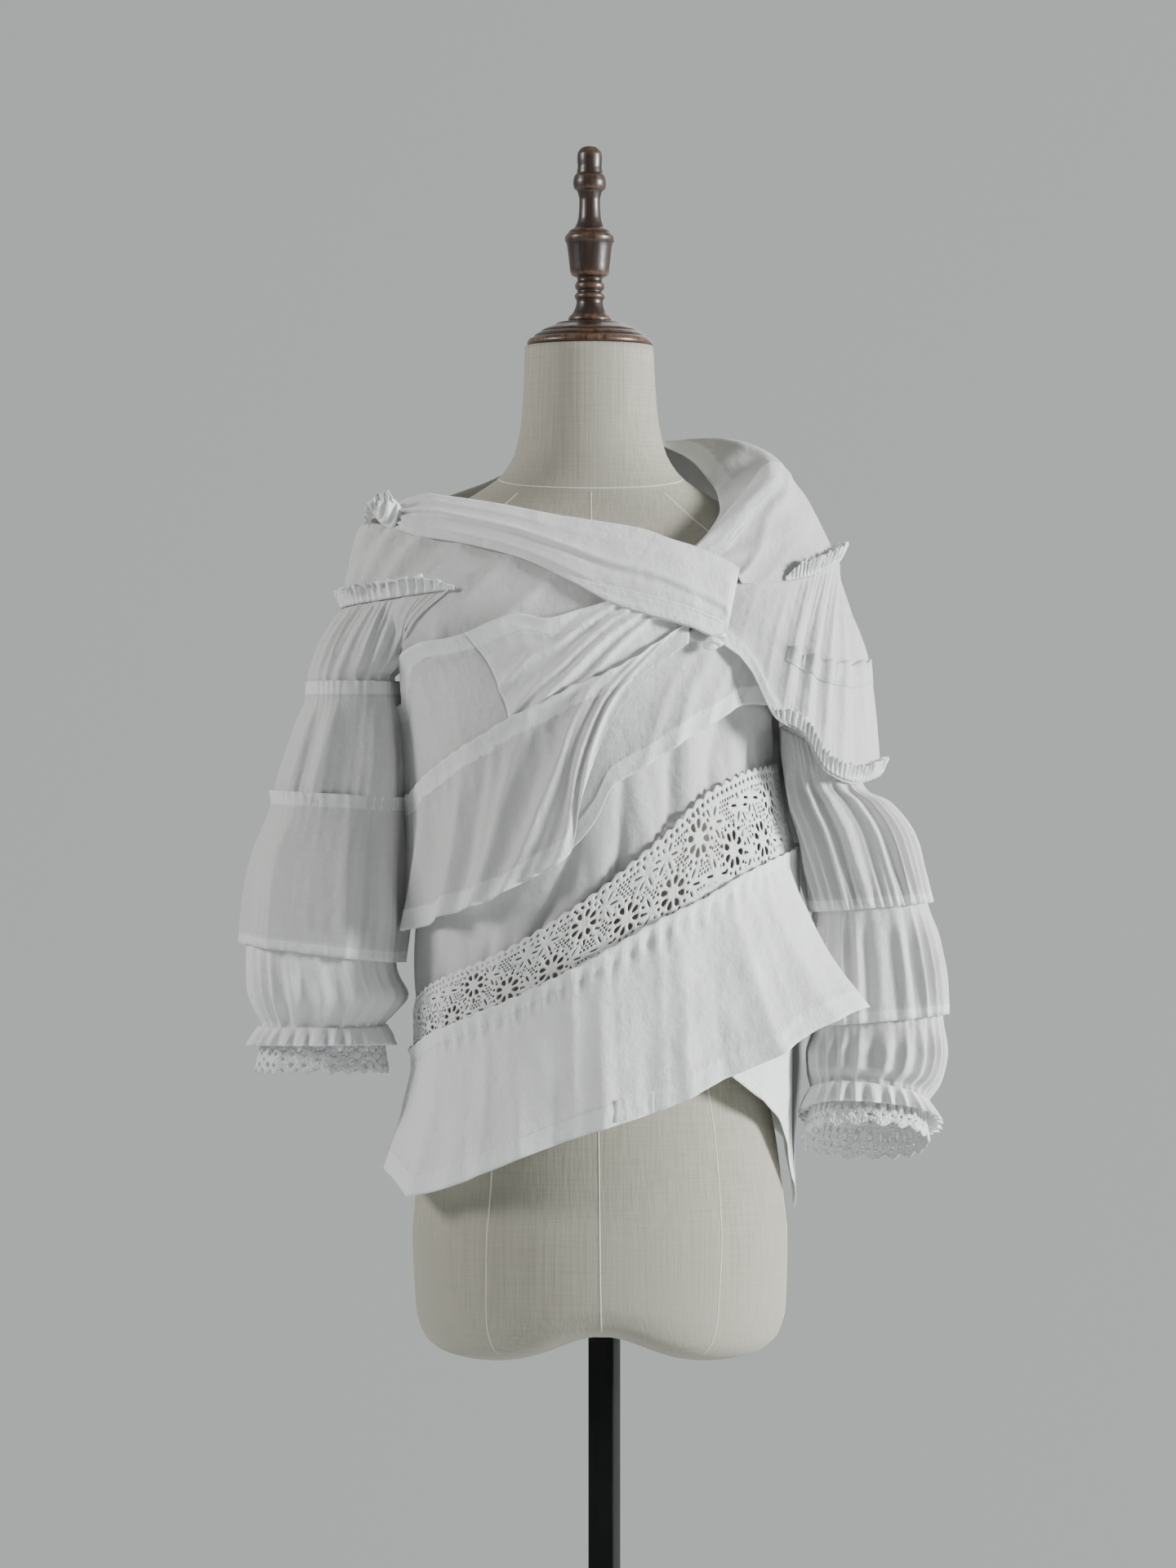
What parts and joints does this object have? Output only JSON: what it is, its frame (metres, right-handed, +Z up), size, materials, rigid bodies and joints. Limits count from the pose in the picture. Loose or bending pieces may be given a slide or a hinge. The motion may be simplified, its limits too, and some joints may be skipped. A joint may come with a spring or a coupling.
{
  "type": "puff sleeve blouse on a dress form",
  "caption": "Asymmetric blouse with an off-shoulder sash, slanting tiers, lace band and gathered sleeves, worn on a limbless dress form that stands on a pole and base plate",
  "frame": {"origin": "middle of the underside of the base plate, on the floor, at the axis of the pole", "axes": "+Z up, the front of the blouse faces -Y, +X is the viewer's right in the front view"},
  "size_m": [0.5928, 0.3, 1.689],
  "materials": {
    "cotton": "crisp white cotton lawn",
    "cotton_voile": "sheer white cotton voile",
    "lace": "white cotton lace with flowers and net",
    "linen": "natural cream linen cover with slubs",
    "walnut": "dark lacquered turned wood",
    "black_steel": "black satin paint"
  },
  "bodies": {
    "root": {"back_bodice": "cotton", "base_plate": "black_steel", "cap_right": "cotton_voile", "chest_panel_left": "cotton_voile", "chest_panel_right": "cotton", "crochet_left": "lace", "crochet_right": "lace", "finial": "walnut", "form_body": "linen", "frill_left": "cotton", "frill_right": "cotton", "front_yoke": "cotton_voile", "hem_patch": "cotton", "knot": "cotton", "lace_back": "lace", "lace_front": "lace", "neck_cap": "walnut", "peplum_back": "cotton", "peplum_front": "cotton", "pole": "black_steel", "right_yoke": "cotton_voile", "ruffle_left": "cotton", "ruffle_right_arm": "cotton", "ruffle_right_shoulder": "cotton", "sash": "cotton", "sash_band": "cotton", "sash_end": "cotton", "sleeve_left_flounce": "cotton", "sleeve_left_middle": "cotton_voile", "sleeve_left_puff": "cotton", "sleeve_left_top": "cotton_voile", "sleeve_right_middle": "cotton_voile", "sleeve_right_puff": "cotton_voile", "sleeve_right_upper": "cotton_voile", "tier_back": "cotton_voile", "tier_left": "cotton_voile", "tier_right": "cotton_voile", "under_back": "cotton_voile", "under_front": "cotton_voile"}
  },
  "joints": []
}
